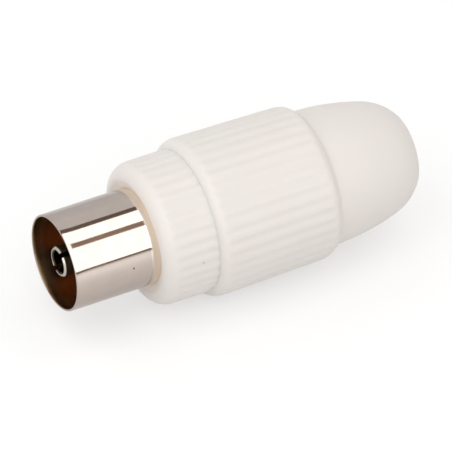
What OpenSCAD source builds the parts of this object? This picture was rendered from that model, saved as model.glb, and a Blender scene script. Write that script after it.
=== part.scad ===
// Straight 9.5 mm coaxial line socket, lying on its side.
// The axis runs along +X: the mouth is at x = 0 and the cable entry is at the far end.
// Outlines are lists of [radius, distance behind the mouth], turned about the axis.

/* [Outer sleeve] */
// Bore of the sleeve, which takes the plug's shell
socket_bore = 9.6; // [9.2:0.1:11]
// Wall of the sleeve
sleeve_wall = 0.3; // [0.2:0.05:0.5]
// Length of sleeve that stands in front of the collar
sleeve_reach = 9.1; // [6:0.05:12]
// Length of sleeve behind its screw window
sleeve_rim = 1; // [0.6:0.1:3]
// Width of the rolled bead that locks the sleeve in the collar
bead_w = 1.6; // [1.2:0.1:2.4]
// Height of the rolled bead
bead_rise = 0.3; // [0.15:0.05:0.5]
// Distance from the collar's front edge to the middle of the bead
bead_inset = 2.9; // [2.4:0.05:4.5]

/* [Centre contact] */
// Bore of the split tube, which takes the plug's pin
contact_bore = 2.4; // [1.8:0.1:3]
// Wall of the split tube
contact_wall = 0.4; // [0.3:0.05:0.6]
// Distance from the mouth to the tip of the tube
contact_inset = 0.4; // [0.2:0.1:1.5]
// Depth of the tube's bore
contact_depth = 9; // [7:0.1:11]
// Width of the slots that split the tube
contact_slot_w = 0.55; // [0.3:0.05:0.8]
// Length of the slots
contact_slot_len = 6; // [3:0.1:6.8]
// Turn of the slots about the axis, in degrees
contact_slot_turn = 27.5; // [0:0.5:180]
// Diameter of the wire terminal
terminal_d = 4.6; // [4:0.1:5.4]
// Bore of the wire hole
wire_bore = 1.4; // [1:0.1:1.8]
// Length of the wire hole in front of the screw's axis
wire_lead = 1.1; // [1.1:0.05:1.6]
// Length of the wire hole behind the screw's axis
wire_grip = 3.5; // [2.6:0.1:4]

/* [Conductor screw] */
// Diameter of the shank
screw_d = 2; // [1.6:0.1:2]
// Diameter of the head
screw_head_d = 3.4; // [3.1:0.1:4]
// Height of the head
screw_head_h = 1.3; // [0.9:0.1:1.5]
// Gap under the head while the screw is backed off
screw_lift = 1.1; // [0.5:0.1:1.3]
// Width of the driver slot
screw_slot_w = 0.5; // [0.3:0.05:0.8]
// Depth of the driver slot
screw_slot_depth = 0.7; // [0.4:0.05:0.8]

/* [Insulator] */
// Distance from the collar's front edge back to the insulator
insulator_inset = 0.2; // [0.1:0.05:1]
// Length of the insulator
insulator_len = 8.7; // [7:0.1:10.5]

/* [Front collar] */
// Length of the ribbed collar
collar_len = 5.75; // [5.2:0.05:9]
// Rounding of the collar's front edge
collar_fillet = 1.6; // [0.4:0.1:1.8]
// Depth of the dish in the collar's face, where the sleeve comes out
collar_dish = 0.4; // [0.15:0.05:0.55]
// Width of the shoulder that the hood seats on
collar_seat = 1.03; // [0.8:0.01:2]
// Length of the threaded spigot behind the shoulder
spigot_len = 6.4; // [5:0.1:9]
// Wall of the spigot under its thread
spigot_wall = 0.75; // [0.6:0.05:1.5]
// Length of the plain land at the foot of the spigot
land_len = 1; // [0.4:0.1:1.6]
// Depth of the thread between the spigot and the hood
thread_depth = 0.6; // [0.4:0.05:0.9]

/* [Rear hood] */
// Wall of the hood around its thread
hood_wall = 1.675; // [1.4:0.005:3]
// Length of the ribbed grip
grip_len = 14.06; // [11.5:0.01:18]
// Draft of the grip, narrowing to the rear, in degrees
grip_draft = 1.25; // [0:0.05:2.5]
// Rounding of the grip's front edge
grip_front_fillet = 1.2; // [0.4:0.05:1.3]
// Rounding of the grip's rear edge
grip_rear_fillet = 1.36; // [1:0.02:2]
// Step from the rear of the grip down to the tail
tail_step = 0.98; // [0.4:0.02:1.6]
// Length of the tail, up to the pole of its rounded end
tail_len = 11.65; // [10:0.05:16]
// Lengthwise radius of the tail's bulging side
tail_bulge = 26.9; // [18:0.1:60]
// Radius of the tail's rounded end
tail_end_r = 5.7; // [4.8:0.1:6.5]
// Rounding of the rim around the cable entry
entry_rim = 0.3; // [0.15:0.05:0.8]
// Length of thread relief behind the spigot
thread_relief = 0.6; // [0.3:0.1:1.2]

/* [Grip ribs] */
// Number of grooves around the collar, and around the hood
groove_count = 38; // [24:1:42]
// Radius of a groove's round section
groove_r = 1.15; // [0.6:0.05:1.3]
// Depth of a groove, which runs out at both ends in the rounded edges
groove_depth = 0.09; // [0.05:0.01:0.12]
// Turn of the collar's grooves against the hood's, in degrees
collar_groove_turn = 3; // [0:0.5:10]

/* [Cable claw] */
// Bore between the fingertips, which grips the cable
claw_bore = 6.2; // [5.4:0.1:7]
// Wall of the fingers
claw_wall = 0.8; // [0.5:0.05:1]
// Length of the fingers
claw_len = 6.2; // [4.5:0.1:8]
// Length of the gripping land at the fingertips
claw_grip = 2; // [1:0.1:3]
// Thickness of the flange
claw_flange = 1; // [0.6:0.1:2]
// Step from the flange in to the roots of the fingers
claw_step = 0.2; // [0.1:0.05:0.3]
// Overlap of the flange past the sleeve
claw_overlap = 0.5; // [0.3:0.05:0.8]
// Number of fingers
claw_fingers = 6; // [4:1:8]
// Width of the slots between the fingers
claw_slot_w = 0.8; // [0.4:0.05:1]

/* [Fits] */
// Radial gap of the pieces that are pressed together
press_gap = 0.05; // [0.02:0.01:0.08]
// Gap between faces that seat on each other
seat_gap = 0.05; // [0.02:0.01:0.1]
// Radial gap over the thread's crests and the land
thread_gap = 0.15; // [0.1:0.01:0.25]
// Radial play of the screw in its hole
screw_play = 0.03; // [0.02:0.01:0.08]
// Gap around the screw's head in the sleeve's window
window_gap = 0.3; // [0.2:0.05:0.5]
// Gap between the claw and the hood
claw_gap = 0.15; // [0.1:0.01:0.3]
// Extra diameter of the cable entry over the claw's bore
entry_play = 0.8; // [0.4:0.05:1]
// Small chamfer on turned and moulded edges
edge_break = 0.15; // [0.05:0.05:0.2]

/* [Hidden] */
$fn = 64;
// Extra length of a cut past the face that it goes through
cut = 1;
white_plastic = [0.93, 0.91, 0.89];
nickel = [0.74, 0.70, 0.66];
brown_plastic = [0.52, 0.35, 0.21];

// Radii, from the axis outwards
contact_r = contact_bore / 2 + contact_wall;
terminal_r = terminal_d / 2;
socket_r = socket_bore / 2;
sleeve_r = socket_r + sleeve_wall;
collar_bore_r = sleeve_r + press_gap;
thread_root_r = collar_bore_r + spigot_wall;
land_r = thread_root_r + thread_depth;
collar_r = land_r + collar_seat;
hood_bore_r = land_r + thread_gap;
hood_r = hood_bore_r + hood_wall;
cable_r = (claw_bore + entry_play) / 2;
claw_flange_r = sleeve_r + claw_overlap;
claw_root_r = claw_flange_r - claw_step;
claw_tip_r = claw_bore / 2 + claw_wall;
cavity_r = claw_flange_r + claw_gap;
window_r = screw_head_d / 2 + window_gap;

// Distances behind the mouth, from front to rear
collar_front = sleeve_reach;
bead_at = collar_front + bead_inset;
insulator_front = collar_front + insulator_inset;
insulator_rear = insulator_front + insulator_len;
collar_rear = collar_front + collar_len;
spigot_end = collar_rear + spigot_len;
screw_at = spigot_end + seat_gap + window_r;
terminal_end = screw_at + wire_grip;
sleeve_end = screw_at + window_r + sleeve_rim;
claw_front = sleeve_end + seat_gap;
claw_root = claw_front + claw_flange;
claw_tip = claw_root + claw_len;
hood_front = collar_rear + seat_gap;
grip_end = hood_front + grip_len;
cavity_front = spigot_end + thread_relief;
cavity_end = claw_tip + claw_gap;

// Centres and end angles of the arcs in the hood's outline
front_arc = [hood_r - grip_front_fillet, hood_front + grip_front_fillet];
rear_arc_at = grip_end - grip_rear_fillet;
side_drop = grip_rear_fillet - grip_front_fillet + (rear_arc_at - front_arc[1]) * sin(grip_draft);
rear_arc = [front_arc[0] - side_drop / cos(grip_draft), rear_arc_at];
rear_arc_end = acos(1 - tail_step / grip_rear_fillet);
tail_r = rear_arc[0] + grip_rear_fillet - tail_step;
bulge_arc = [tail_r - tail_bulge, grip_end];
bulge_end = asin((tail_len - tail_end_r) / (tail_bulge - tail_end_r));
end_arc = bulge_arc + (tail_bulge - tail_end_r) * [cos(bulge_end), sin(bulge_end)];
rim_arc_r = cable_r + entry_rim;
rim_rise = sqrt(pow(tail_end_r - entry_rim, 2) - pow(rim_arc_r - end_arc[0], 2));
rim_arc = [rim_arc_r, end_arc[1] + rim_rise];
end_arc_end = atan2(rim_rise, rim_arc_r - end_arc[0]);

// Points on an arc, with angles counted from the radial direction towards the rear
function arc(centre, r, from, to, steps = 8) =
    [for (i = [0 : steps]) let (a = from + (to - from) * i / steps) centre + r * [cos(a), sin(a)]];

// Points of the bead's section on a surface of radius r, from front to rear
function bead(r) = [
    [r, bead_at - bead_w / 2],
    [r + bead_rise, bead_at - bead_w / 2 + bead_rise],
    [r + bead_rise, bead_at + bead_w / 2 - bead_rise],
    [r, bead_at + bead_w / 2]];

function reversed(points) = [for (i = [len(points) - 1 : -1 : 0]) points[i]];

// Lays the axis of a turned shape along +X
module along_axis() {
    rotate([0, 90, 0]) children();
}

module turned(outline) {
    rotate_extrude() polygon(outline);
}

// Points local +Z straight down from the axis, at a distance behind the mouth
module downwards(at) {
    translate([0, 0, at]) rotate([0, 90, 0]) children();
}

// Ring of straight grooves between two distances behind the mouth.
// The grooved surface has the radius surface_r at the first distance.
module grooves(surface_r, from, to, draft = 0) {
    for (i = [0 : groove_count - 1])
        rotate([0, 0, i * 360 / groove_count])
            translate([surface_r + groove_r - groove_depth, 0, from])
                rotate([0, -draft, 0])
                    cylinder(r = groove_r, h = to - from);
}

module outer_sleeve() {
    outline = concat(
        [[socket_r, edge_break], [socket_r + edge_break / 2, 0], [sleeve_r - edge_break / 2, 0]],
        [[sleeve_r, edge_break]],
        bead(sleeve_r),
        [[sleeve_r, sleeve_end], [socket_r, sleeve_end]],
        reversed(bead(socket_r)));
    color(nickel) along_axis() difference() {
        turned(outline);
        downwards(screw_at) cylinder(r = window_r, h = sleeve_r + cut);
    }
}

module front_collar() {
    front_fillet = arc([collar_r - collar_fillet, collar_front + collar_fillet], collar_fillet, -90, 0);
    outline = concat(
        [[collar_bore_r, collar_front + collar_dish]],
        front_fillet,
        [[collar_r, collar_rear], [land_r, collar_rear], [land_r, collar_rear + land_len]],
        [[thread_root_r, collar_rear + land_len + thread_depth]],
        [[thread_root_r, spigot_end - edge_break], [thread_root_r - edge_break, spigot_end]],
        [[collar_bore_r, spigot_end]],
        reversed(bead(collar_bore_r)));
    color(white_plastic) along_axis() difference() {
        turned(outline);
        rotate([0, 0, collar_groove_turn]) grooves(collar_r, collar_front - cut, collar_rear + cut);
    }
}

module insulator() {
    outer_r = socket_r - press_gap;
    inner_r = contact_r + press_gap;
    outline = concat(
        [[inner_r, insulator_front], [outer_r - edge_break, insulator_front]],
        [[outer_r, insulator_front + edge_break]],
        bead(outer_r),
        [[outer_r, insulator_rear], [inner_r, insulator_rear]]);
    color(brown_plastic) along_axis() turned(outline);
}

module centre_contact() {
    bore_r = contact_bore / 2;
    bore_end = contact_inset + contact_depth;
    terminal_front = insulator_rear + seat_gap;
    outline = [
        [bore_r, contact_inset + edge_break],
        [bore_r + edge_break, contact_inset],
        [contact_r - edge_break, contact_inset],
        [contact_r, contact_inset + edge_break],
        [contact_r, terminal_front],
        [terminal_r, terminal_front],
        [terminal_r, terminal_end],
        [0, terminal_end],
        [0, bore_end],
        [bore_r, bore_end]];
    slot_h = contact_slot_len + cut;
    color(nickel) along_axis() difference() {
        turned(outline);
        rotate([0, 0, contact_slot_turn])
            translate([-contact_r - cut, -contact_slot_w / 2, contact_inset - cut])
                cube([2 * (contact_r + cut), contact_slot_w, slot_h]);
        translate([0, 0, screw_at - wire_lead]) cylinder(d = wire_bore, h = wire_lead + wire_grip + cut);
        downwards(screw_at) cylinder(r = screw_d / 2 + screw_play, h = terminal_r + cut);
    }
}

module conductor_screw() {
    shank_r = screw_d / 2;
    head_r = screw_head_d / 2;
    tip = wire_bore / 2 + seat_gap;
    seat = terminal_r + screw_lift;
    top = seat + screw_head_h;
    outline = [
        [0, tip],
        [shank_r - edge_break, tip],
        [shank_r, tip + edge_break],
        [shank_r, seat],
        [head_r, seat],
        [head_r, top - edge_break],
        [head_r - edge_break, top],
        [0, top]];
    color(nickel) along_axis() downwards(screw_at) difference() {
        turned(outline);
        translate([-head_r - cut, -screw_slot_w / 2, top - screw_slot_depth])
            cube([2 * (head_r + cut), screw_slot_w, screw_slot_depth + cut]);
    }
}

module cable_claw() {
    mouth_r = claw_root_r - claw_wall;
    grip_r = claw_bore / 2;
    outline = [
        [mouth_r, claw_front],
        [claw_flange_r, claw_front],
        [claw_flange_r, claw_root],
        [claw_root_r, claw_root],
        [claw_tip_r, claw_tip],
        [grip_r, claw_tip],
        [grip_r, claw_tip - claw_grip],
        [mouth_r, claw_root]];
    color(nickel) along_axis() difference() {
        turned(outline);
        for (i = [0 : claw_fingers - 1])
            rotate([0, 0, i * 360 / claw_fingers])
                translate([0, -claw_slot_w / 2, claw_root])
                    cube([claw_flange_r + cut, claw_slot_w, claw_len + cut]);
    }
}

module rear_hood() {
    outside = concat(
        [[hood_bore_r, hood_front + edge_break], [hood_bore_r + edge_break, hood_front]],
        arc(front_arc, grip_front_fillet, -90, grip_draft),
        arc(rear_arc, grip_rear_fillet, grip_draft, rear_arc_end),
        arc(bulge_arc, tail_bulge, 0, bulge_end, 12),
        arc(end_arc, tail_end_r, bulge_end, end_arc_end, 12),
        arc(rim_arc, entry_rim, end_arc_end, 180));
    inside = [
        [cable_r, cavity_end],
        [claw_tip_r + claw_gap, cavity_end],
        [claw_root_r + claw_gap, claw_root + claw_gap],
        [cavity_r, claw_root + claw_gap],
        [cavity_r, cavity_front],
        [hood_bore_r, cavity_front]];
    groove_from = hood_front - cut;
    groove_surface_r = hood_r + (front_arc[1] - groove_from) * tan(grip_draft);
    color(white_plastic) along_axis() difference() {
        turned(concat(outside, inside));
        grooves(groove_surface_r, groove_from, grip_end + cut, grip_draft);
    }
}

outer_sleeve();
front_collar();
insulator();
centre_contact();
conductor_screw();
cable_claw();
rear_hood();
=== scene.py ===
import math

import bpy
import numpy as np
from mathutils import Matrix, Vector


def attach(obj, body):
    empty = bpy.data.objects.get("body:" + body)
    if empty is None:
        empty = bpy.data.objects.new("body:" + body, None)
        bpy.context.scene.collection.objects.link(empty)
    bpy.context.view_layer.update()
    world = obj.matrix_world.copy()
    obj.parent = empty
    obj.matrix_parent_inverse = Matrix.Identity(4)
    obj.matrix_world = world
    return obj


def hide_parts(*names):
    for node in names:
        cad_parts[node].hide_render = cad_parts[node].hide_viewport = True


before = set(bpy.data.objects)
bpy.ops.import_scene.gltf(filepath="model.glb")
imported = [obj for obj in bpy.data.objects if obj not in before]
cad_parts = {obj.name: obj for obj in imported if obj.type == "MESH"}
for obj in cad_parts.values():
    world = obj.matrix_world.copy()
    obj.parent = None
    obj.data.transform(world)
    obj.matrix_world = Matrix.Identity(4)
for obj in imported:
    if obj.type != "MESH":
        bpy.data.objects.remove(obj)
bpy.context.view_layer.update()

# Sizes are in millimetres. A point of an outline is (radius from the axis, distance behind the mouth)
MM = 0.001
SHARP_ANGLE = math.radians(40)

# Ribs of the collar and the hood
GROOVES = 38
GROOVE_R = 1.15
GROOVE_DEPTH = 0.09
RIB_EDGE = 0.03
RIB_COLUMNS = 10 * GROOVES
COLLAR_RIB_TURN = 3

# Thread between the collar and the hood: the hood's ridge runs half a turn behind the collar's
PITCH = 1.5
RIDGE_HEIGHT = 0.6
RIDGE_HALF_WIDTH = 0.46
RIDGE_FLANK = 0.24
RIDGE_FADE = 0.7
HOOD_RIDGE = (15.5, 21.7)
HOOD_RIDGE_SHIFT = 0.5
COLLAR_RIDGE = (16.2, 21.15)

# Rear hood, from its front to the cable entry, and back along the inside
HOOD_R = 8.325
HOOD_FRONT = 14.9
HOOD_FILLET = 1.2
HOOD_DRAFT = 1.25
GRIP_END = 28.96
GRIP_FILLET = 1.36
STEP_DROP = 0.98
STEP_BLEND = 0.5
BULGE_R = 26.9
TAIL_LEN = 11.65
TAIL_END_R = 5.7
ENTRY_R = 3.5
ENTRY_FILLET = 0.3
CONE_REAR = (4.05, 33.7)
CONE_FRONT = (5.55, 27.5)
CAVITY_R = 5.75
CAVITY_FRONT = 21.85
THREAD_BORE_R = 6.65
THREAD_CHAMFER = 0.15

# Front collar, from its dished face to the end of the spigot
COLLAR_R = 7.53
COLLAR_FRONT = 9.1
COLLAR_FILLET = 1.6
COLLAR_FILLET_FROM = -82
COLLAR_DISH = 0.4
COLLAR_BORE_R = 5.15
LIP_R = 5.11
LIP_LEN = 0.3
LIP_BEVEL = 0.2
CREST_DROP = 0.01
SEAM = 14.97
SHOULDER = (7.2, 14.89)
SHOULDER_R = 7.0
COLLAR_REAR = 14.85
NECK_R = 6.5
NECK_END = 15.85
THREAD_ROOT_R = 5.9
SPIGOT_END = 21.25
SPIGOT_CHAMFER = 0.15

# Outer sleeve
SLEEVE_R = 5.1
SLEEVE_BORE_R = 4.8
SLEEVE_END = 26.3
SLEEVE_COLUMNS = 256
RIM_R = 0.12
RIM_DEPTH = 0.45
BEAD_FRONT = 11.2
BEAD_REAR = 12.8
BEAD_HEIGHT = 0.3
WINDOW_AT = 23.3
WINDOW_R = 2.0
WINDOW_SIDES = 64
WINDOW_Z = (-6.5, -3.0)


# Outlines and turned meshes
def polar(centre, r, angle):
    """A point on a circle, by its angle in degrees: 0 points outwards and 90 to the rear."""
    a = math.radians(angle)
    return centre[0] + r * math.cos(a), centre[1] + r * math.sin(a)


def arc(centre, r, start, end, steps):
    return [polar(centre, r, angle) for angle in np.linspace(start, end, steps + 1)]


def line(p, q, steps):
    """Points from p to q in even steps, without p itself."""
    start = np.array(p)
    step = (np.array(q) - start) / steps
    return [tuple(start + step * k) for k in range(1, steps + 1)]


def bead(r):
    """A ring that stands out from a tube of radius r, with sloping sides."""
    top = r + BEAD_HEIGHT
    return [(r, BEAD_FRONT), (top, BEAD_FRONT + BEAD_HEIGHT), (top, BEAD_REAR - BEAD_HEIGHT), (r, BEAD_REAR)]


def tagged(points, tag):
    """Rows for lathe: grip rows take ribs, thread rows take a ridge, and plain rows stay round."""
    return [(r, s, tag) for r, s in points]


def smooth(t):
    t = np.clip(t, 0, 1)
    return t * t * (3 - 2 * t)


def grooved(r, theta, surface_r, turn):
    """Radius around a ring of radius r that straight round grooves cut, with softly rounded rib edges."""
    pitch = 2 * math.pi / GROOVES
    a = (((theta - math.radians(turn)) / pitch + 0.5) % 1.0 - 0.5) * pitch
    centre = surface_r + GROOVE_R - GROOVE_DEPTH
    reach = np.maximum(GROOVE_R ** 2 - (centre * np.sin(a)) ** 2, 0)
    depth = r - (centre * np.cos(a) - np.sqrt(reach))
    return r - 0.5 * (depth + np.sqrt(depth * depth + RIB_EDGE ** 2))


def ridge(theta, s, span, shift):
    """Height of a right-hand helical ridge, fading out at both ends of its span."""
    u = (s / PITCH - theta / (2 * math.pi) + shift + 0.5) % 1.0 - 0.5
    flank = smooth((RIDGE_HALF_WIDTH - np.abs(u * PITCH)) / RIDGE_FLANK)
    fade = smooth((s - span[0]) / RIDGE_FADE) * smooth((span[1] - s) / RIDGE_FADE)
    return RIDGE_HEIGHT * flank * fade


def plain_shape(r, s, tag, theta):
    """A round ring, whatever its place and tag."""
    return np.full_like(theta, r)


def lathe(name, rows, columns, shape):
    """A closed turned mesh: shape(r, s, tag, theta) gives the radius around a ring."""
    theta = np.arange(columns) * 2 * math.pi / columns
    verts = np.zeros((len(rows), columns, 3))
    for k, (r, s, tag) in enumerate(rows):
        ring = shape(r, s, tag, theta)
        verts[k, :, 0] = s
        verts[k, :, 1] = ring * np.sin(theta)
        verts[k, :, 2] = -ring * np.cos(theta)
    here = np.arange(len(rows) * columns).reshape(len(rows), columns)
    behind = np.roll(here, -1, axis=0)
    corners = [here, behind, np.roll(behind, -1, axis=1), np.roll(here, -1, axis=1)]
    quads = np.stack(corners, axis=-1).reshape(-1, 4)
    mesh = bpy.data.meshes.new(name)
    mesh.from_pydata((verts.reshape(-1, 3) * MM).tolist(), [], quads.tolist())
    mesh.validate()
    mesh.polygons.foreach_set("use_smooth", np.ones(len(mesh.polygons), bool))
    mesh.set_sharp_from_angle(angle=SHARP_ANGLE)
    obj = bpy.data.objects.new(name, mesh)
    bpy.context.scene.collection.objects.link(obj)
    return obj


# Rear hood: ribbed grip, step, bulging tail with a cable entry, and an inner thread
# Its outline is a chain of arcs that run into each other. These are their centres, and their ends in degrees
DRAFT = math.radians(HOOD_DRAFT)
FRONT = (HOOD_R - HOOD_FILLET, HOOD_FRONT + HOOD_FILLET)
REAR_AT = GRIP_END - GRIP_FILLET
REAR_DROP = (GRIP_FILLET - HOOD_FILLET + (REAR_AT - FRONT[1]) * math.sin(DRAFT)) / math.cos(DRAFT)
REAR = (FRONT[0] - REAR_DROP, REAR_AT)
TAIL_R = REAR[0] + GRIP_FILLET - STEP_DROP
STEP_RISE = TAIL_R + STEP_BLEND - REAR[0]
STEP_RUN = math.sqrt((GRIP_FILLET + STEP_BLEND) ** 2 - STEP_RISE ** 2)
STEP = (TAIL_R + STEP_BLEND, REAR_AT + STEP_RUN)
REAR_TO = math.degrees(math.atan2(STEP_RUN, STEP_RISE))
BULGE = (TAIL_R - BULGE_R, GRIP_END)
BULGE_FROM = math.degrees(math.asin((STEP[1] - GRIP_END) / BULGE_R))
BULGE_TO = math.degrees(math.asin((TAIL_LEN - TAIL_END_R) / (BULGE_R - TAIL_END_R)))
END = polar(BULGE, BULGE_R - TAIL_END_R, BULGE_TO)
ENTRY_RISE = ENTRY_R + ENTRY_FILLET - END[0]
ENTRY_RUN = math.sqrt((TAIL_END_R - ENTRY_FILLET) ** 2 - ENTRY_RISE ** 2)
ENTRY = (ENTRY_R + ENTRY_FILLET, END[1] + ENTRY_RUN)
END_TO = math.degrees(math.atan2(ENTRY_RUN, ENTRY_RISE))


def hood_rows():
    thread_front = (THREAD_BORE_R, HOOD_FRONT + THREAD_CHAMFER)
    front = arc(FRONT, HOOD_FILLET, -90, HOOD_DRAFT, 12)
    rear = arc(REAR, GRIP_FILLET, HOOD_DRAFT, REAR_TO, 14)
    grip = [thread_front, (THREAD_BORE_R + THREAD_CHAMFER, HOOD_FRONT)] + front
    grip += line(front[-1], rear[0], 56) + rear[1:]
    tail = arc(STEP, STEP_BLEND, REAR_TO + 180, 180, 8)[1:]
    tail += arc(BULGE, BULGE_R, BULGE_FROM, BULGE_TO, 20)[1:]
    tail += arc(END, TAIL_END_R, BULGE_TO, END_TO, 18)[1:]
    tail += arc(ENTRY, ENTRY_FILLET, END_TO, 180, 8)[1:]
    inside = line(tail[-1], (ENTRY_R, CONE_REAR[1]), 3) + [CONE_REAR, CONE_FRONT]
    inside += [(CAVITY_R, CONE_FRONT[1]), (CAVITY_R, CAVITY_FRONT), (THREAD_BORE_R, CAVITY_FRONT)]
    thread = line(inside[-1], thread_front, 62)[:-1]
    return tagged(grip, "grip") + tagged(tail + inside, "plain") + tagged(thread, "thread")


def hood_shape(r, s, tag, theta):
    if tag == "grip":
        return grooved(r, theta, HOOD_R + (FRONT[1] - s) * math.tan(DRAFT), 0)
    if tag == "thread":
        return r - ridge(theta, s, HOOD_RIDGE, HOOD_RIDGE_SHIFT)
    return plain_shape(r, s, tag, theta)


hood = lathe("hood_ribbed", hood_rows(), RIB_COLUMNS, hood_shape)
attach(hood, "hood")
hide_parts("rear_hood")


# Front collar: dished face, rounded front, ribs that run up to the hood, and a threaded spigot
def collar_rows():
    crest_r = COLLAR_R - COLLAR_FILLET
    fillet = arc((crest_r, COLLAR_FRONT + COLLAR_FILLET), COLLAR_FILLET, COLLAR_FILLET_FROM, 0, 16)
    lip = COLLAR_FRONT + COLLAR_DISH
    grip = [(COLLAR_BORE_R, lip + LIP_LEN + LIP_BEVEL), (LIP_R, lip + LIP_LEN), (LIP_R, lip)]
    grip += line(grip[-1], (crest_r, COLLAR_FRONT + CREST_DROP), 6) + fillet
    grip += line(fillet[-1], (COLLAR_R, SEAM), 30)
    root = (THREAD_ROOT_R, NECK_END + NECK_R - THREAD_ROOT_R)
    back = [SHOULDER, (SHOULDER_R, COLLAR_REAR), (NECK_R, COLLAR_REAR), (NECK_R, NECK_END), root]
    thread = line(root, (THREAD_ROOT_R, SPIGOT_END - SPIGOT_CHAMFER), 44)
    bore = [(THREAD_ROOT_R - SPIGOT_CHAMFER, SPIGOT_END), (COLLAR_BORE_R, SPIGOT_END)]
    bore += bead(COLLAR_BORE_R)[::-1]
    return tagged(grip, "grip") + tagged(back, "plain") + tagged(thread, "thread") + tagged(bore, "plain")


def collar_shape(r, s, tag, theta):
    if tag == "grip":
        return grooved(r, theta, COLLAR_R, COLLAR_RIB_TURN)
    if tag == "thread":
        return r + ridge(theta, s, COLLAR_RIDGE, 0.0)
    return plain_shape(r, s, tag, theta)


collar = lathe("collar_ribbed", collar_rows(), RIB_COLUMNS, collar_shape)
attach(collar, "front")
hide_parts("front_collar")


# Outer sleeve: rolled rim, locking bead, and a window under the conductor screw
def sleeve_rows():
    rim = [(SLEEVE_BORE_R, RIM_DEPTH)] + arc((SLEEVE_R - RIM_R, RIM_R), RIM_R, -180, 0, 10)
    outer = bead(SLEEVE_R)
    inner = bead(SLEEVE_BORE_R)[::-1]
    rows = rim + line(rim[-1], outer[0], 10) + outer[1:]
    rows += line(outer[-1], (SLEEVE_R, SLEEVE_END), 8) + [(SLEEVE_BORE_R, SLEEVE_END)]
    rows += line(rows[-1], inner[0], 8) + inner[1:]
    rows += line(inner[-1], rim[0], 8)[:-1]
    return tagged(rows, "plain")


def window_cutter():
    """A round plug that stands where the window goes."""
    n = WINDOW_SIDES
    angles = np.arange(n) * 2 * math.pi / n
    circle = [(WINDOW_AT + WINDOW_R * math.cos(a), WINDOW_R * math.sin(a)) for a in angles]
    verts = [(x * MM, y * MM, z * MM) for z in WINDOW_Z for x, y in circle]
    caps = [tuple(range(n - 1, -1, -1)), tuple(range(n, 2 * n))]
    sides = [(k, (k + 1) % n, n + (k + 1) % n, n + k) for k in range(n)]
    mesh = bpy.data.meshes.new("window_cutter")
    mesh.from_pydata(verts, [], caps + sides)
    cutter = bpy.data.objects.new("window_cutter", mesh)
    bpy.context.scene.collection.objects.link(cutter)
    return cutter


def cut(obj, cutter):
    """Cuts one object out of another for good, and removes the cutter."""
    mod = obj.modifiers.new("cut", "BOOLEAN")
    mod.operation = "DIFFERENCE"
    mod.solver = "EXACT"
    mod.object = cutter
    graph = bpy.context.evaluated_depsgraph_get()
    whole = obj.data
    obj.data = bpy.data.meshes.new_from_object(obj.evaluated_get(graph))
    obj.data.name = whole.name
    obj.data.set_sharp_from_angle(angle=SHARP_ANGLE)
    obj.modifiers.remove(mod)
    plug = cutter.data
    bpy.data.objects.remove(cutter)
    bpy.data.meshes.remove(plug)
    bpy.data.meshes.remove(whole)


sleeve = lathe("sleeve_turned", sleeve_rows(), SLEEVE_COLUMNS, plain_shape)
cut(sleeve, window_cutter())
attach(sleeve, "front")
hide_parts("outer_sleeve")


# Nodes that the materials share
def grey(v):
    return (v, v, v)


def math_node(tree, operation, a, b=None):
    n = tree.nodes.new("ShaderNodeMath")
    n.operation = operation
    for socket, value in zip(n.inputs, (a, b)):
        if isinstance(value, (int, float)):
            socket.default_value = value
        elif value is not None:
            tree.links.new(value, socket)
    return n.outputs[0]


def mix_colour(tree, factor, a, b, blend="MIX"):
    n = tree.nodes.new("ShaderNodeMix")
    n.data_type = "RGBA"
    n.blend_type = blend
    for socket, value in (("Factor", factor), ("A", a), ("B", b)):
        if isinstance(value, (int, float)):
            n.inputs[socket].default_value = value
        elif isinstance(value, tuple):
            n.inputs[socket].default_value = (*value, 1)
        else:
            tree.links.new(value, n.inputs[socket])
    return n.outputs["Result"]


def ramp(tree, factor, *stops):
    """Colour along a row of (position, colour) stops."""
    n = tree.nodes.new("ShaderNodeValToRGB")
    while len(n.color_ramp.elements) < len(stops):
        n.color_ramp.elements.new(0.5)
    for element, (position, colour) in zip(n.color_ramp.elements, stops):
        element.position = position
        element.color = (*colour, 1)
    tree.links.new(factor, n.inputs[0])
    return n.outputs[0]


def between(tree, value, low, high):
    """0 before low, 1 past high, and a straight rise from one to the other."""
    n = tree.nodes.new("ShaderNodeMapRange")
    n.inputs["From Min"].default_value = low
    n.inputs["From Max"].default_value = high
    tree.links.new(value, n.inputs["Value"])
    return n.outputs["Result"]


def noise(tree, coord, scale, detail=3.0, rough=0.5, stretch=None):
    if stretch:
        mapping = tree.nodes.new("ShaderNodeMapping")
        mapping.inputs["Scale"].default_value = stretch
        tree.links.new(coord, mapping.inputs["Vector"])
        coord = mapping.outputs[0]
    n = tree.nodes.new("ShaderNodeTexNoise")
    n.inputs["Scale"].default_value = scale
    n.inputs["Detail"].default_value = detail
    n.inputs["Roughness"].default_value = rough
    tree.links.new(coord, n.inputs["Vector"])
    return n.outputs["Fac"]


def bump(tree, shader, height, strength, distance):
    n = tree.nodes.new("ShaderNodeBump")
    n.inputs["Strength"].default_value = strength
    n.inputs["Distance"].default_value = distance
    tree.links.new(height, n.inputs["Height"])
    tree.links.new(n.outputs[0], shader.inputs["Normal"])


def around(tree, coord):
    """Distance from the socket's axis, and distance behind the mouth."""
    split = tree.nodes.new("ShaderNodeSeparateXYZ")
    tree.links.new(coord, split.inputs[0])
    yy = math_node(tree, "MULTIPLY", split.outputs["Y"], split.outputs["Y"])
    zz = math_node(tree, "MULTIPLY", split.outputs["Z"], split.outputs["Z"])
    return math_node(tree, "SQRT", math_node(tree, "ADD", yy, zz)), split.outputs["X"]


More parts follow.
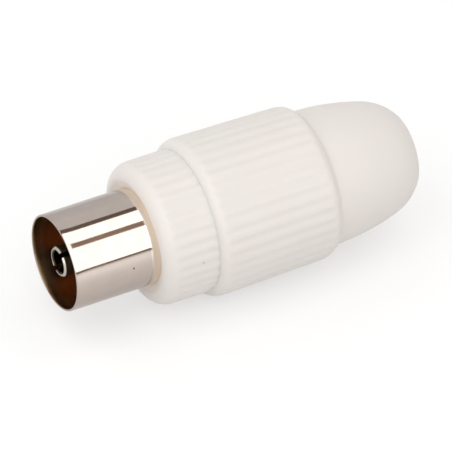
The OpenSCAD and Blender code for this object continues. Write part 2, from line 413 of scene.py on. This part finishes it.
def speck(tree, coord, base, centre, radius, colour):
    """Adds one small dark spot to a base colour."""
    n = tree.nodes.new("ShaderNodeVectorMath")
    n.operation = "DISTANCE"
    n.inputs[1].default_value = [c * MM for c in centre]
    tree.links.new(coord, n.inputs[0])
    spot = between(tree, n.outputs["Value"], radius * MM, radius / 2 * MM)
    return mix_colour(tree, spot, base, colour)


def new_material(name, metallic=0.0):
    mat = bpy.data.materials.new(name)
    mat.use_nodes = True
    tree = mat.node_tree
    shader = tree.nodes["Principled BSDF"]
    shader.inputs["Metallic"].default_value = metallic
    coord = tree.nodes.new("ShaderNodeTexCoord").outputs["Object"]
    return mat, tree, shader, coord


def coat(tree, shader, colour, roughness):
    tree.links.new(colour, shader.inputs["Base Color"])
    tree.links.new(roughness, shader.inputs["Roughness"])


# Materials. Inside these radii the sleeve's plating gives way to its tarnished bore, and the contact's bore
# takes painted shade
SLEEVE_INSIDE_R = 4.9
CONTACT_BORE_R = 1.31
CONTACT_BORE_BLEND = 0.05


def white_plastic():
    """Warm white satin moulding, with painted warm light on the dish around the sleeve, and a speck on the
    collar.
    """
    mat, tree, shader, coord = new_material("white_plastic_moulded")
    shader.inputs["Subsurface Weight"].default_value = 0.30
    shader.inputs["Subsurface Radius"].default_value = (1.0, 0.8, 0.65)
    shader.inputs["Subsurface Scale"].default_value = 1.2 * MM
    shader.inputs["Specular IOR Level"].default_value = 0.4
    mottle = noise(tree, coord, 260, detail=4, rough=0.55)
    pinkish, plain, greenish = (0.800, 0.748, 0.722), (0.805, 0.765, 0.730), (0.798, 0.772, 0.722)
    colour = ramp(tree, mottle, (0.3, pinkish), (0.5, plain), (0.7, greenish))
    r, x = around(tree, coord)
    # Painted warm light: the plastic of the dish around the sleeve is tinted lighter and warmer, for the
    # light that the sleeve throws on it
    near_sleeve = between(tree, r, 5.75 * MM, 5.35 * MM)
    near_face = between(tree, x, 10.1 * MM, 9.8 * MM)
    painted_warm_light = math_node(tree, "MULTIPLY", near_sleeve, near_face)
    colour = mix_colour(tree, painted_warm_light, colour, (0.88, 0.80, 0.72))
    colour = speck(tree, coord, colour, (13.079, -7.483, 0.510), 0.13, (0.50, 0.36, 0.28))
    satin = noise(tree, coord, 900)
    coat(tree, shader, colour, ramp(tree, satin, (0.2, grey(0.36)), (0.8, grey(0.50))))
    grain = noise(tree, coord, 5200, rough=0.6)
    bump(tree, shader, grain, strength=0.10, distance=0.02 * MM)
    return mat


def plating(tree, coord, dark, light, roughness, stretch=None):
    """Cloudy colour and streaky polish of a nickel plate."""
    cloud = noise(tree, coord, 420, detail=4, rough=0.6)
    colour = ramp(tree, cloud, (0.25, dark), (0.7, light))
    polish = noise(tree, coord, 1500, rough=0.6, stretch=stretch)
    smoothest, roughest = roughness
    return colour, ramp(tree, polish, (0.25, grey(smoothest)), (0.75, grey(roughest)))


def tool_lines(tree, shader, coord, stretch=None):
    lines = noise(tree, coord, 2600, detail=2, stretch=stretch)
    bump(tree, shader, lines, strength=0.035, distance=0.01 * MM)


def sleeve_nickel():
    """Polished nickel with a speck, a painted reflection of the collar beside it, and a warm bore with
    painted shade that darkens it towards the rim.
    """
    mat, tree, shader, coord = new_material("nickel_polished", metallic=1.0)
    lengthwise = (0.15, 1, 1)
    dark, light = (0.48, 0.415, 0.37), (0.52, 0.45, 0.405)
    colour, roughness = plating(tree, coord, dark, light, (0.05, 0.10), lengthwise)
    r, x = around(tree, coord)
    # Painted reflection: beside the collar the plating is lighter and warmer, where it mirrors the collar's
    # face
    painted_collar_reflection = between(tree, x, 8.45 * MM, 8.7 * MM)
    colour = mix_colour(tree, painted_collar_reflection, colour, (0.84, 0.765, 0.68))
    colour = speck(tree, coord, colour, (6.404, -5.068, 0.570), 0.14, (0.10, 0.08, 0.07))
    tarnish = noise(tree, coord, 700, detail=4, rough=0.6)
    bore = ramp(tree, tarnish, (0.3, (0.80, 0.57, 0.35)), (0.7, (0.84, 0.60, 0.37)))
    # Painted shade: the bore's colour is darkened towards the rim
    depth = between(tree, x, 0.0, 4 * MM)
    shade = ramp(tree, depth, (0.01, grey(0.22)), (0.08, grey(0.45)), (0.25, grey(1.0)))
    bore = mix_colour(tree, 1.0, bore, shade, "MULTIPLY")
    bore_roughness = ramp(tree, noise(tree, coord, 1100), (0.3, grey(0.16)), (0.7, grey(0.20)))
    inside = math_node(tree, "LESS_THAN", r, SLEEVE_INSIDE_R * MM)
    colour = mix_colour(tree, inside, colour, bore)
    coat(tree, shader, colour, mix_colour(tree, inside, roughness, bore_roughness))
    tool_lines(tree, shader, coord, lengthwise)
    return mat


def contact_nickel():
    """Turned nickel, bright at the tip, with painted shade on the shank and in the bore."""
    mat, tree, shader, coord = new_material("nickel_turned", metallic=1.0)
    crosswise = (4, 1, 1)
    dark, light = (0.48, 0.44, 0.38), (0.58, 0.53, 0.47)
    colour, roughness = plating(tree, coord, dark, light, (0.16, 0.26), crosswise)
    r, x = around(tree, coord)
    # Painted shade: the shank behind the tip is darkened, as it sits deep in the dark sleeve
    painted_shank_shade = between(tree, x, 1.0 * MM, 2.0 * MM)
    colour = mix_colour(tree, painted_shank_shade, colour, (0.18, 0.15, 0.12))
    # Painted shade: the contact's bore is nearly black
    bore = between(tree, r, (CONTACT_BORE_R + CONTACT_BORE_BLEND) * MM, CONTACT_BORE_R * MM)
    colour = mix_colour(tree, bore, colour, (0.05, 0.03, 0.015))
    coat(tree, shader, colour, roughness)
    tool_lines(tree, shader, coord, crosswise)
    return mat


def claw_nickel():
    """Pressed nickel, duller than the turned pieces."""
    mat, tree, shader, coord = new_material("nickel_pressed", metallic=1.0)
    dark, light = (0.60, 0.56, 0.50), (0.70, 0.66, 0.60)
    coat(tree, shader, *plating(tree, coord, dark, light, (0.22, 0.36)))
    tool_lines(tree, shader, coord)
    return mat


def screw_zinc():
    """Bluish zinc plate with a fine spangle."""
    mat, tree, shader, coord = new_material("zinc_plated", metallic=1.0)
    spangle = noise(tree, coord, 1800, rough=0.6)
    colour = ramp(tree, spangle, (0.3, (0.50, 0.52, 0.55)), (0.7, (0.66, 0.68, 0.70)))
    dull = noise(tree, coord, 2400, detail=2)
    coat(tree, shader, colour, ramp(tree, dull, (0.3, grey(0.26)), (0.7, grey(0.42))))
    bump(tree, shader, noise(tree, coord, 4200, detail=2), strength=0.08, distance=0.01 * MM)
    return mat


def insulator_plastic():
    """Matt brown moulding."""
    mat, tree, shader, coord = new_material("insulator_plastic")
    filler = noise(tree, coord, 900, detail=4, rough=0.6)
    colour = ramp(tree, filler, (0.3, (0.33, 0.14, 0.050)), (0.7, (0.40, 0.17, 0.064)))
    matt = noise(tree, coord, 1600)
    coat(tree, shader, colour, ramp(tree, matt, (0.3, grey(0.40)), (0.7, grey(0.58))))
    bump(tree, shader, noise(tree, coord, 3600), strength=0.08, distance=0.02 * MM)
    return mat


plastic = white_plastic()
for piece, material in ((hood, plastic), (collar, plastic), (sleeve, sleeve_nickel())):
    piece.data.materials.append(material)
NODE_MATERIALS = {
    "insulator": insulator_plastic(),
    "centre_contact": contact_nickel(),
    "conductor_screw": screw_zinc(),
    "cable_claw": claw_nickel(),
}
for name, material in NODE_MATERIALS.items():
    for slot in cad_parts[name].material_slots:
        slot.material = material

# Stage, in metres: the floor lies under the hood's ribs, and the glows are linear, with 1 as white
FLOOR_Z = -HOOD_R * MM
FLOOR_HALF = 3.0
FLOOR_COLOUR = (0.60, 0.601, 0.603)
FLOOR_GLOW = 0.17
FLOOR_SEEN_GLOW = 0.26
MIRROR_REACH = 60 * MM
WORLD_LIGHT = (0.57, 0.566, 0.562)
WHITE = (1, 1, 1)
BLACK = (0, 0, 0)


def seen_rays(tree):
    """Two factors: rays straight from the camera or through a piece, and rays that a mirror sends."""
    path = tree.nodes.new("ShaderNodeLightPath")
    straight = math_node(tree, "MAXIMUM", path.outputs["Is Camera Ray"], path.outputs["Is Transmission Ray"])
    return straight, path.outputs["Is Glossy Ray"]


def mirrored_floor(tree):
    """Glow of the floor in mirrors: it grows lighter away from the part, on the camera's side."""
    place = tree.nodes.new("ShaderNodeSeparateXYZ")
    tree.links.new(tree.nodes.new("ShaderNodeNewGeometry").outputs["Position"], place.inputs[0])
    away = between(tree, place.outputs["Y"], 0.0, -MIRROR_REACH)
    return ramp(tree, away, (0.0, grey(0.08)), (0.25, grey(0.26)), (0.62, grey(0.50)), (1.0, grey(0.66)))


def add_stage(name, corners, material):
    """A flat four-cornered surface that isn't part of the object."""
    mesh = bpy.data.meshes.new(name)
    mesh.from_pydata([tuple(c) for c in corners], [], [(0, 1, 2, 3)])
    mesh.materials.append(material)
    obj = bpy.data.objects.new(name, mesh)
    bpy.context.scene.collection.objects.link(obj)
    return obj


def floor_white():
    """White to the camera, with the part's shadow on it, and dimmer in the light it throws on the part."""
    mat = bpy.data.materials.new("floor_white")
    mat.use_nodes = True
    tree = mat.node_tree
    tree.nodes.remove(tree.nodes["Principled BSDF"])
    diffuse = tree.nodes.new("ShaderNodeBsdfDiffuse")
    diffuse.inputs["Color"].default_value = (*FLOOR_COLOUR, 1)
    straight, mirrored = seen_rays(tree)
    seen = math_node(tree, "MULTIPLY", straight, FLOOR_SEEN_GLOW)
    seen = math_node(tree, "ADD", seen, math_node(tree, "MULTIPLY", mirrored, mirrored_floor(tree)))
    glow = tree.nodes.new("ShaderNodeEmission")
    tree.links.new(math_node(tree, "ADD", seen, FLOOR_GLOW), glow.inputs["Strength"])
    both = tree.nodes.new("ShaderNodeAddShader")
    tree.links.new(diffuse.outputs[0], both.inputs[0])
    tree.links.new(glow.outputs[0], both.inputs[1])
    tree.links.new(both.outputs[0], tree.nodes["Material Output"].inputs["Surface"])
    return mat


def make_floor():
    e = FLOOR_HALF
    corners = [(-e, -e, FLOOR_Z), (e, -e, FLOOR_Z), (e, e, FLOOR_Z), (-e, e, FLOOR_Z)]
    add_stage("floor", corners, floor_white())


def make_world():
    world = bpy.data.worlds.new("studio")
    bpy.context.scene.world = world
    world.use_nodes = True
    tree = world.node_tree
    seen = math_node(tree, "MAXIMUM", *seen_rays(tree))
    colour = mix_colour(tree, seen, WORLD_LIGHT, WHITE)
    tree.links.new(colour, tree.nodes["Background"].inputs["Color"])


# Lights run along the socket's axis. Their angles are in degrees from straight up, towards the camera's side
LIGHT_X = (-1.6, 0.5)
SOFTBOXES = {"softbox_top": (-12, 23.5), "softbox_front": (23.5, 83)}
SOFTBOX_AWAY = 0.6
SOFTBOX_RADIANCE = 0.705
GLINT_AWAY = 0.62
GLINT_RADIANCE = 0.77
STRIP_AWAY = 0.45
STRIP_X = (-1.0, 1.2)
MIDDLE_STRIP_X = (0.112, 1.2)
LOW_CARDS = 6
LOW_CARD_START = -89.9
LOW_CARD_STEP = 6.4
LOW_CARD_GLOW = 0.75
LOW_CARD_RISE = 0.025
BACK_CARD_GLOW = 0.90
FILL_AWAY = 0.42
FILL_X = (-1.6, -0.12)
FILL_GLOW = 1.2


def along(angle, distance, x):
    """A place at an angle and a distance from the socket's axis."""
    a = math.radians(angle)
    return Vector((x, -distance * math.sin(a), distance * math.cos(a)))


def strip(name, angles, away, span, colour=BLACK, glow=0.0):
    """A flat strip that the camera doesn't see: it draws a line in the sleeve, or gives light if it glows."""
    mat = bpy.data.materials.new(name)
    mat.use_nodes = True
    shader = mat.node_tree.nodes["Principled BSDF"]
    shader.inputs["Base Color"].default_value = (*colour, 1)
    shader.inputs["Emission Strength"].default_value = glow
    shader.inputs["Roughness"].default_value = 1.0
    shader.inputs["Specular IOR Level"].default_value = 0.0
    ends = [(angles[0], span[0]), (angles[0], span[1]), (angles[1], span[1]), (angles[1], span[0])]
    obj = add_stage(name, [along(angle, away, x) for angle, x in ends], mat)
    obj.visible_camera = False
    return obj


def softbox(name, angles, away, radiance):
    """A long area light that fills a range of angles around the socket's axis."""
    half = math.radians(angles[1] - angles[0]) / 2
    centre = along(sum(angles) / 2, away * math.cos(half), sum(LIGHT_X) / 2)
    data = bpy.data.lights.new(name, "AREA")
    data.shape = "RECTANGLE"
    data.size = LIGHT_X[1] - LIGHT_X[0]
    data.size_y = 2 * away * math.sin(half)
    data.energy = radiance * math.pi * data.size * data.size_y
    obj = bpy.data.objects.new(name, data)
    obj.location = centre
    x = Vector((1, 0, 0))
    z = Vector((0, centre.y, centre.z)).normalized()
    obj.rotation_euler = Matrix((x, z.cross(x), z)).transposed().to_euler()
    obj.visible_camera = False
    bpy.context.scene.collection.objects.link(obj)
    return obj


def make_lights():
    for name, angles in SOFTBOXES.items():
        softbox(name, angles, SOFTBOX_AWAY, SOFTBOX_RADIANCE)
        glint = softbox(name + "_glint", angles, GLINT_AWAY, GLINT_RADIANCE)
        glint.visible_diffuse = False
    for k in range(LOW_CARDS):
        start = LOW_CARD_START + LOW_CARD_STEP * k
        angles = (start, start + LOW_CARD_STEP)
        strip(f"card_low_{k}", angles, STRIP_AWAY, LIGHT_X, glow=LOW_CARD_GLOW + LOW_CARD_RISE * k)
    strip("card_back", (-51.5, -21.5), STRIP_AWAY, LIGHT_X, glow=BACK_CARD_GLOW)
    fill = strip("card_fill", (-80, -5), FILL_AWAY, FILL_X, glow=FILL_GLOW)
    fill.visible_glossy = False
    strip("flag_top", (-21.5, -10.5), STRIP_AWAY, STRIP_X, (0.28, 0.22, 0.18))
    strip("flag_middle", (18, 29.5), STRIP_AWAY, MIDDLE_STRIP_X, (0.60, 0.45, 0.34))
    strip("flag_front", (82.5, 87), STRIP_AWAY, STRIP_X, (0.36, 0.27, 0.20))


# Camera at the photograph's viewing angle, in metres and degrees
CAMERA_TARGET = Vector((0.019475, -0.000018, -0.0024525))
CAMERA_AZIMUTH = -27.588
CAMERA_ELEVATION = 38.9675
CAMERA_AWAY = 2.0
CAMERA_LENS = 1577.0
CAMERA_SENSOR = 36


def make_camera():
    az = math.radians(CAMERA_AZIMUTH)
    el = math.radians(CAMERA_ELEVATION)
    away = Vector((math.sin(az) * math.cos(el), -math.cos(az) * math.cos(el), math.sin(el)))
    data = bpy.data.cameras.new("camera")
    data.sensor_width = CAMERA_SENSOR
    data.lens = CAMERA_LENS
    obj = bpy.data.objects.new("camera", data)
    obj.location = CAMERA_TARGET + CAMERA_AWAY * away
    obj.rotation_euler = (-away).to_track_quat("-Z", "Y").to_euler()
    bpy.context.scene.collection.objects.link(obj)
    bpy.context.scene.camera = obj


make_floor()
make_world()
make_lights()
make_camera()
bpy.context.scene.view_settings.view_transform = "Standard"
